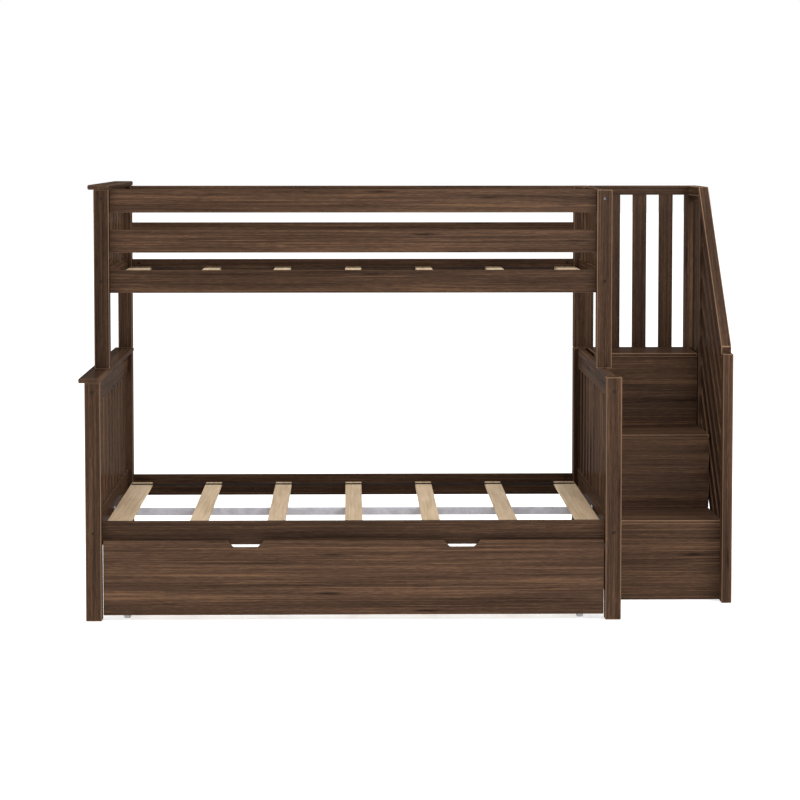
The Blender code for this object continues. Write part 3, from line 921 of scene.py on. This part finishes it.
def stairs():
    """Treads and risers of glued strips. The second tread is narrower beside the guard's middle post."""
    post_front, narrow = PLAN_Y + MIDDLE_POST_Y[0] - GAP, PLAN_X + NARROW_TREAD_X
    for number in STEPS:
        node = f"stair_tread_{number}"
        low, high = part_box(node)
        piece = piece_for(node)
        if low.y < post_front < high.y:
            outline = [
                (low.x, low.y), (high.x, low.y), (high.x, post_front),
                (narrow, post_front), (narrow, high.y), (low.x, high.y),
            ]
            part = slab(outline, Z, low.z, high.z, STAIR_EASE, 3)
        else:
            part = block(low, high, STAIR_EASE, 3)
        piece.add(part, WALNUT, X, strips=(Y, strip_cuts(low.y, high.y)), worn=1.0)
        piece.make("bed", "walnut", (node,))

        node = f"stair_riser_{number}"
        low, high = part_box(node)
        piece = piece_for(node)
        foot = low.z
        if number == 1:
            foot, joint = low.z + BASE_STRIP, 0.0008
            piece.add(block(*split(low, high, Z, low.z, foot - joint), 0.002), WALNUT, X, tone=0.95)
        cuts = strip_cuts(foot, high.z)
        piece.add(block(*split(low, high, Z, foot, high.z), 0.0012), WALNUT, X, strips=(Z, cuts))
        piece.make("bed", "walnut", (node,))


def stair_sides():
    """Stepped sides under the treads, read off the treads and risers."""
    fronts = [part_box(f"stair_riser_{number}")[1].y + GAP for number in STEPS]
    tops = [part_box(f"stair_tread_{number}")[0].z - GAP for number in STEPS]
    for node in ("stair_side_inner", "stair_side_outer"):
        low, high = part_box(node)
        outline = [(fronts[0], low.z)]
        for top, front, back in zip(tops, fronts, [*fronts[1:], high.y]):
            outline += [(front, top), (back, top)]
        outline.append((high.y, low.z))
        piece = piece_for(node)
        cuts = strip_cuts(low.z, high.z, WIDE_STRIP)
        piece.add(slab(outline, X, low.x, high.x, FINE_EASE), WALNUT, Y, tone=0.95, strips=(Z, cuts))
        piece.make("bed", "walnut", (node,))


def newel():
    node = "stair_newel_post"
    low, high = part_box(node)
    finish_board(node, block(low, high, POST_EASE, 3), WALNUT, Z, 0.7)


def handrail():
    """Two lengths that meet at the bend. The sloped one is drawn level, so that its grain runs along it."""
    node = "stair_handrail"
    low, high = RAIL_LOW, RAIL_HIGH
    piece = piece_for(node)
    end = rail_line(low.y)
    outline = [(low.y, end - RAIL_DROP), (UNDER_BEND, UNDER_FLAT), (BEND, RAIL_TOP), (low.y, end)]
    slope = slab(outline, X, low.x, high.x, STAIR_EASE, 3)
    slope.transform(RAIL_LEAN)
    piece.add(slope, WALNUT, Y, place=RAIL_LEAN.inverted(), worn=1.3)
    under, over = (UNDER_BEND + RAIL_JOINT, UNDER_FLAT), (BEND + RAIL_JOINT, RAIL_TOP)
    outline = [under, (high.y, UNDER_FLAT), (high.y, RAIL_TOP), over]
    piece.add(slab(outline, X, low.x, high.x, STAIR_EASE, 3), WALNUT, Y, worn=1.3)
    piece.make("bed", "walnut", (node,))


def side_guard():
    """Middle and rear posts, the sloping boards in front, and two rails with slats beside the landing."""
    node = "stair_side_guard"
    low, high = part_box(node)
    piece = piece_for(node)
    front, back = (PLAN_Y + y for y in MIDDLE_POST_Y)
    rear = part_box("upper_post_back_right")[0].y
    under = UNDER_FLAT - GAP
    slant_under = rail_line(front) - RAIL_DROP - GAP
    outline = [(front, 0), (back, 0), (back, under), (UNDER_BEND, under), (front, slant_under)]
    post = slab(outline, X, RAIL_LOW.x, RAIL_HIGH.x, POST_EASE, 3)
    piece.add(post, WALNUT, Z, worn=0.45)

    tone = 0.97
    inner = RAIL_LOW.x + GUARD_BOARD_IN
    outer = inner + GUARD_BOARD_THICK
    start, end = low.y, front + LET_IN
    for i in range(GUARD_BOARDS):
        board = slab(guard_board_outline(i, start, end), X, inner, outer, FINE_EASE)
        board.transform(RAIL_LEAN)
        piece.add(board, WALNUT, Y, tone, place=RAIL_LEAN.inverted())
    set_in = 0.0004
    foot = block((inner + set_in, start, 0), (outer - set_in, end, FOOT_RAIL_TALL), FINE_EASE)
    piece.add(foot, WALNUT, Y, tone)

    for top, tall in ((LANDING, BOARD_TALL), (under, HEAD_RAIL_TALL)):
        rail = block((inner, back - LET_IN, top - tall), (outer, rear + LET_IN, top), FINE_EASE)
        piece.add(rail, WALNUT, Y, tone)
    foot, head = LANDING - LET_IN, under - HEAD_RAIL_TALL + LET_IN
    for offset in GUARD_SLAT_Y:
        y = PLAN_Y + offset
        slat = block((inner + GAP, y, foot), (outer - GAP, y + END_SLAT_WIDE, head), FINE_EASE)
        piece.add(slat, WALNUT, Z, tone)
    piece.add(block((low.x, rear, 0), (high.x, high.y, under), POST_EASE, 3), WALNUT, Z)
    piece.make("bed", "walnut", (node,))


def guard_board_outline(i, start, end):
    """Sloping board `i`, counted from the top. The lowest one is cut off level near the floor."""
    half_rise = END_SLAT_WIDE * RAIL_SLANT / 2
    floor = 0.0005

    def line(y):
        return TOP_BOARD_LINE - i * BOARD_RISE + RAIL_PITCH * (y - PLAN_Y)

    outline = [(end, line(end) - half_rise), (end, line(end) + half_rise), (start, line(start) + half_rise)]
    if i + 1 < GUARD_BOARDS:
        outline.append((start, line(start) - half_rise))
    else:
        outline += [(start, floor), ((floor - line(0) + half_rise) / RAIL_PITCH, floor)]
    return outline


def back_guard():
    """Stile, rails and upright slats behind the landing."""
    node = "stair_back_guard"
    low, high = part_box(node)
    piece = piece_for(node)
    stile = low.x + STILE_WIDE
    rail_end = min(high.x, RAIL_LOW.x - GAP)
    near = low.y + BACK_SLAT_IN
    far = near + BACK_SLAT_THICK
    piece.add(block(low, (stile, high.y, high.z), STAIR_EASE, 3), WALNUT, Z)
    top_rail = block((stile, low.y, UNDER_FLAT), (rail_end, high.y, high.z), STAIR_EASE, 3)
    piece.add(top_rail, WALNUT, X)
    foot_rail = block((stile, near, LANDING - BOARD_TALL), (REAR_POST_LEFT, far, LANDING), FINE_EASE)
    piece.add(foot_rail, WALNUT, X)
    for start, end in rows(stile, REAR_POST_LEFT, BACK_SLATS, BACK_SLAT_WIDE):
        slat = block((start, near, LANDING - LET_IN), (end, far, UNDER_FLAT + LET_IN), FINE_EASE)
        piece.add(slat, WALNUT, Z)
    piece.make("bed", "walnut", (node,))


# Trundle

def notched_panel():
    """The front panel, glued from five boards, with two hand notches in its top edge."""
    node = "trundle_front_panel"
    low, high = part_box(node)
    outline = [(low.x, low.z), (high.x, low.z), (high.x, high.z)]
    for side in (RIGHT, LEFT):
        centre = PLAN_X + side * NOTCH_X
        outline += [
            (centre + NOTCH_TOP / 2, high.z),
            (centre + NOTCH_BOTTOM / 2, high.z - NOTCH_DEEP),
            (centre - NOTCH_BOTTOM / 2, high.z - NOTCH_DEEP),
            (centre - NOTCH_TOP / 2, high.z),
        ]
    outline.append((low.x, high.z))
    piece = piece_for(node)
    cuts = [low.z + share * (high.z - low.z) for share in (0.22, 0.42, 0.63, 0.85)]
    piece.add(slab(outline, Y, low.y, high.y, 0.002, 3), WALNUT, X, strips=(Z, cuts))
    piece.make("trundle", "walnut", (node,))


def trundle_frame():
    """Four boards, a ledge under the slats at the front and the back, and a pad over each caster."""
    node = "trundle_frame"
    low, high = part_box(node)
    piece = piece_for(node)
    board_tone, ledge_tone = 0.9, 0.85
    left, right, front, back = low.x + BOARD, high.x - BOARD, low.y + BOARD, high.y - BOARD
    for y in (low.y, back):
        piece.add(block((low.x, y, low.z), (high.x, y + BOARD, high.z)), WALNUT, X, board_tone)
    for x in (low.x, right):
        piece.add(block((x, front, low.z), (x + BOARD, back, high.z)), WALNUT, Y, board_tone)
    for y in (front, back - CLEAT_WIDE):
        ledge = block((left, y, low.z), (right, y + CLEAT_WIDE, LEDGE_TOP), FINE_EASE)
        piece.add(ledge, WALNUT, X, ledge_tone)
    for end in ("front", "back"):
        for side, label, wall in ((LEFT, "left", left), (RIGHT, "right", right)):
            centre = middle_of(f"caster_housing_{end}_{label}")
            x = sorted((centre.x - side * CLEAT_WIDE, wall))
            if end == "front":
                y = (front + CLEAT_WIDE, centre.y + 2 * CLEAT_WIDE)
            else:
                y = (centre.y - 2 * CLEAT_WIDE, back - CLEAT_WIDE)
            pad = block((x[0], y[0], low.z), (x[1], y[1], LEDGE_TOP), FINE_EASE)
            piece.add(pad, WALNUT, Y, ledge_tone)
    piece.make("trundle", "walnut", (node,))


def trundle_deck():
    """Slats on one batten, screwed at the ends and in the middle."""
    node = "trundle_slat_deck"
    low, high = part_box(node)
    piece = piece_for(node)
    under = high.z - SLAT_THICK
    half, screw_in = BED_SLAT_WIDE / 2, 0.012
    middle = (low.y + high.y) / 2
    batten = block((low.x, middle - half, low.z), (high.x, middle + half, under), SLAT_EASE)
    piece.add(batten, PINE, X, tone=0.95)
    for place in DECK_SLATS:
        x = PLAN_X + place * BED_SLAT_PITCH
        piece.add(block((x - half, low.y, under), (x + half, high.y, high.z), SLAT_EASE), PINE, Y)
        for y in (low.y + screw_in, middle, high.y - screw_in):
            cross_screw(piece, (x, y, high.z), (0, 0, 1), turn=rng.uniform(0, 1.5))
    piece.make("trundle", "pine", (node,))


def cheek(centre, x, top):
    """A fork cheek that narrows and rounds off below the axle."""
    half, foot, shoulder, steps = 0.012, 0.008, centre.z + 0.006, 8
    outline = [(centre.y - half, top), (centre.y - half, shoulder)]
    for i in range(steps + 1):
        angle = math.pi + math.pi * i / steps
        outline.append((centre.y + foot * math.cos(angle), centre.z + foot * math.sin(angle)))
    outline += [(centre.y + half, shoulder), (centre.y + half, top)]
    return slab(outline, X, *x, 0.0006, 1)


def caster_housing(end, label):
    """Plate, raceway, fork, axle and four plate screws."""
    node = f"caster_housing_{end}_{label}"
    low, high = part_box(node)
    centre = middle_of(f"caster_wheel_{end}_{label}")
    plate_half, plate_low = 0.021, high.z - 0.0042
    race_half, race_rim, race_tall = 0.0178, 0.0012, 0.0036
    race_low = plate_low - race_tall + 0.0002
    cheek_in, cheek_out, cheek_top = 0.0136, 0.0164, plate_low - 0.0025
    pin, pin_half, head, head_low, head_top = 0.0039, 0.0165, 0.0055, -0.001, 0.0019
    screw_in, screw_x = 0.006, 0.014

    piece = Piece(node + "_finished")
    corners = (centre.x - plate_half, low.y, plate_low), (centre.x + plate_half, high.y, high.z)
    piece.add(block(*corners, 0.0012), CASTER_PLASTIC, X)
    narrow = race_half - 0.0013
    race = turned(((0, 0), (narrow, 0), (race_half, race_rim), (race_half, race_tall), (0, race_tall)), 32)
    piece.add(race, CASTER_PLASTIC, Z, place=Matrix.Translation((centre.x, centre.y, race_low)))
    for side in (LEFT, RIGHT):
        x = sorted((centre.x + side * cheek_in, centre.x + side * cheek_out))
        piece.add(cheek(centre, x, cheek_top), CASTER_PLASTIC, Z)
        profile = (0, head_low), (head, head_low), (head, 0.0006), (head - 0.002, head_top), (0, head_top)
        place = facing((centre.x + side * pin_half, centre.y, centre.z), (side, 0, 0))
        piece.add(turned(profile, 24), BRIGHT_STEEL, Z, place=place)
        for y in (low.y + screw_in, high.y - screw_in):
            cross_screw(piece, (centre.x + side * screw_x, y, plate_low), (0, 0, -1), radius=0.0032)
    axle = turned(((0, -pin_half), (pin, -pin_half), (pin, pin_half), (0, pin_half)), 20)
    piece.add(axle, BRIGHT_STEEL, Z, place=facing(centre, (1, 0, 0)))
    piece.make("trundle", "caster_grey", (node,))


def mirrored(half_profile):
    """A profile below the wheel's middle, followed by its mirror image. A point on the middle stays one."""
    return half_profile + [(radius, -height) for radius, height in reversed(half_profile) if height]


def caster_wheel(end, label):
    """A tyre with round shoulders on a hub with recessed faces and a bore for the axle."""
    node = f"caster_wheel_{end}_{label}"
    low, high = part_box(node)
    half, radius = (high.x - low.x) / 2, (high.z - low.z) / 2
    bore, hub, shoulder = 0.0045, radius * 0.62, 0.004
    place = facing(middle_of(node), (1, 0, 0))

    tyre = [(hub, -half + 0.002)]
    for degrees in (-90, -60, -30):
        angle = math.radians(degrees)
        tyre.append((
            radius - shoulder + shoulder * math.cos(angle),
            -half + shoulder + shoulder * math.sin(angle),
        ))
    tyre.append((radius, 0))
    core = [
        (bore, -half), (bore + 0.003, -half), (bore + 0.004, -half + 0.002),
        (hub - 0.004, -half + 0.004), (hub - 0.0025, -half + 0.0012), (hub, -half + 0.0012),
    ]
    piece = Piece(node + "_finished")
    piece.add(turned(mirrored(tyre), 48, closed=True), TYRE, Z, place=place)
    piece.add(turned(mirrored(core), 48, closed=True), CASTER_PLASTIC, Z, place=place)
    piece.make(f"caster_{end}_{label}", "tyre_grey", (node,))


# Stage

def stage():
    """A plain pale floor that reaches past every view."""
    floor_mesh = bpy.data.meshes.new("floor")
    reach = 60
    corners = [(-reach, -reach, 0), (reach, -reach, 0), (reach, reach, 0), (-reach, reach, 0)]
    floor_mesh.from_pydata(corners, [], [(0, 1, 2, 3)])
    tree = Tree("pale_floor")
    tree.shade(
        Base_Color=(0.90, 0.90, 0.90, 1),
        Roughness=0.9,
        Specular_IOR_Level=0.0,
        Emission_Color=(1, 1, 1, 1),
        Emission_Strength=0.6,
    )
    floor_mesh.materials.append(tree.material)
    new_object("floor", floor_mesh)


def lights():
    """Four soft area lights, and a world that looks white but lights a little less."""
    world = bpy.data.worlds.new("studio")
    bpy.context.scene.world = world
    world.use_nodes = True
    nodes, links = world.node_tree.nodes, world.node_tree.links
    nodes.clear()
    seen, lit = (nodes.new("ShaderNodeBackground") for _ in range(2))
    for shader, strength in ((seen, 1.0), (lit, 0.72)):
        shader.inputs["Color"].default_value = (1, 1, 1, 1)
        shader.inputs["Strength"].default_value = strength
    path = nodes.new("ShaderNodeLightPath")
    mix = nodes.new("ShaderNodeMixShader")
    out = nodes.new("ShaderNodeOutputWorld")
    links.new(path.outputs["Is Camera Ray"], mix.inputs[0])
    links.new(lit.outputs[0], mix.inputs[1])
    links.new(seen.outputs[0], mix.inputs[2])
    links.new(mix.outputs[0], out.inputs["Surface"])
    target = Vector((0, 0, 0.8))
    for name, place, size, power in (
        ("key", (4.5, -5.5, 4.5), 3.0, 195),
        ("front", (1.5, -8.5, 2.4), 3.0, 110),
        ("fill", (-5.0, -5.0, 3.5), 4.0, 70),
        ("top", (0.0, 0.5, 6.0), 5.0, 160),
    ):
        lamp = bpy.data.lights.new(name, "AREA")
        lamp.size = size
        lamp.energy = power
        holder = new_object(name, lamp)
        holder.location = place
        holder.rotation_euler = (target - Vector(place)).to_track_quat("-Z", "Y").to_euler()
    bpy.context.scene.view_settings.view_transform = "Standard"


def camera():
    """The photograph's point of view, nearly level, from straight in front."""
    data = bpy.data.cameras.new("camera")
    data.lens = 116.552
    data.sensor_width = 36.0
    data.shift_y = -0.10
    data.clip_end = 200
    holder = new_object("camera", data)
    holder.location = (-0.2399, -10.5407, 1.8051)
    holder.rotation_euler = (math.pi / 2 - 0.0669, 0, -0.01925)
    bpy.context.scene.camera = holder


camera()
stage()
lights()
posts()
caps()
end_panels()
entry_end()
side_rails()
guards()
bed_slats()
centre_beam()
stairs()
stair_sides()
newel()
handrail()
side_guard()
back_guard()
notched_panel()
trundle_frame()
trundle_deck()
for caster_end in ("front", "back"):
    for caster_side in ("left", "right"):
        caster_housing(caster_end, caster_side)
        caster_wheel(caster_end, caster_side)
